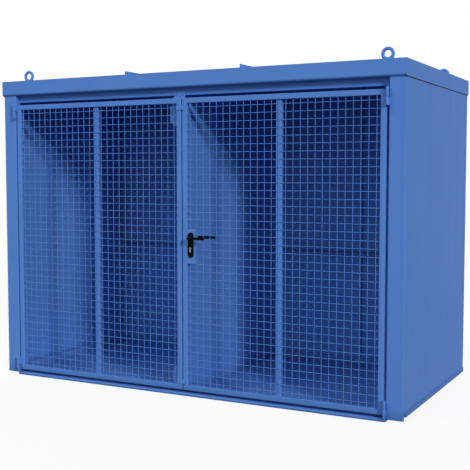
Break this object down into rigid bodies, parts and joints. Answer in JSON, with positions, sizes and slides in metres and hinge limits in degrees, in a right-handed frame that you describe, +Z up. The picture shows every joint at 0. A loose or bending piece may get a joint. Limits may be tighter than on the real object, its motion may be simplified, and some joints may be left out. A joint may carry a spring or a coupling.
{
  "type": "gas cylinder cage",
  "caption": "Blue steel store for gas cylinders with two bays, sheet walls and roof, a pair of outward-opening mesh doors with a lever lock, and lifting eyes.",
  "frame": {"origin": "centre of the body's footprint, on the ground under the floor pan", "axes": "+X along the width to the right seen from the front, -Y out of the door side, +Z up"},
  "size_m": [3.1, 1.5966, 2.2793],
  "materials": {
    "blue_paint": "semi-gloss blue powder coat",
    "black_plastic": "smooth black",
    "nickel": "satin nickel",
    "zinc": "zinc plated"
  },
  "bodies": {
    "cage": {"back_fascia": "blue_paint", "back_wall_panel_1": "blue_paint", "back_wall_panel_2": "blue_paint", "back_wall_panel_3": "blue_paint", "back_wall_panel_4": "blue_paint", "floor_tray": "blue_paint", "front_fascia": "blue_paint", "front_header": "blue_paint", "front_sill": "blue_paint", "left_back_post": "blue_paint", "left_bottom_hinge_pin": "blue_paint", "left_front_post": "blue_paint", "left_rail": "blue_paint", "left_top_hinge_pin": "blue_paint", "left_wall_back_panel": "blue_paint", "left_wall_front_panel": "blue_paint", "left_wall_middle_panel": "blue_paint", "lifting_eye_back_left": "blue_paint", "lifting_eye_back_right": "blue_paint", "lifting_eye_front_left": "blue_paint", "lifting_eye_front_right": "blue_paint", "partition_back_panel": "blue_paint", "partition_front_panel": "blue_paint", "right_back_post": "blue_paint", "right_bottom_hinge_pin": "blue_paint", "right_front_post": "blue_paint", "right_rail": "blue_paint", "right_top_hinge_pin": "blue_paint", "right_wall_back_panel": "blue_paint", "right_wall_front_panel": "blue_paint", "right_wall_middle_panel": "blue_paint", "roof_sheet_left": "blue_paint", "roof_sheet_middle": "blue_paint", "roof_sheet_right": "blue_paint", "top_stop_plate": "blue_paint"},
    "left_door": {"left_door_bottom_bolt_plate": "blue_paint", "left_door_bottom_rail": "blue_paint", "left_door_cross_wires": "blue_paint", "left_door_hinge_stile": "blue_paint", "left_door_meeting_stile": "blue_paint", "left_door_mid_bar": "blue_paint", "left_door_top_bolt_plate": "blue_paint", "left_door_top_rail": "blue_paint", "left_door_upright_wires": "blue_paint"},
    "right_door": {"right_door_bottom_rail": "blue_paint", "right_door_cross_wires": "blue_paint", "right_door_hinge_stile": "blue_paint", "right_door_meeting_stile": "blue_paint", "right_door_mid_bar": "blue_paint", "right_door_top_rail": "blue_paint", "right_door_upright_wires": "blue_paint", "lock_case": "blue_paint", "outer_lock_plate": "black_plastic", "inner_lock_plate": "black_plastic", "lock_cylinder": "nickel"},
    "handle": {"outer_lever": "black_plastic", "inner_lever": "black_plastic", "lock_spindle": "zinc"}
  },
  "joints": [
    {"name": "left_door_hinge", "type": "hinge", "parent": "cage", "child": "left_door", "pos_m": [-1.433, -0.7785, 1.028], "axis": [0, 0, -1], "range_deg": [0, 180]},
    {"name": "right_door_hinge", "type": "hinge", "parent": "cage", "child": "right_door", "pos_m": [1.433, -0.7785, 1.028], "axis": [0, 0, 1], "range_deg": [0, 180]},
    {"name": "handle_turn", "type": "hinge", "parent": "right_door", "child": "handle", "pos_m": [0.07, -0.7435, 1.081], "axis": [0, 1, 0], "range_deg": [0, 40], "stiffness_Nm_per_rad": 1.2, "springref_deg": -28.65}
  ]
}
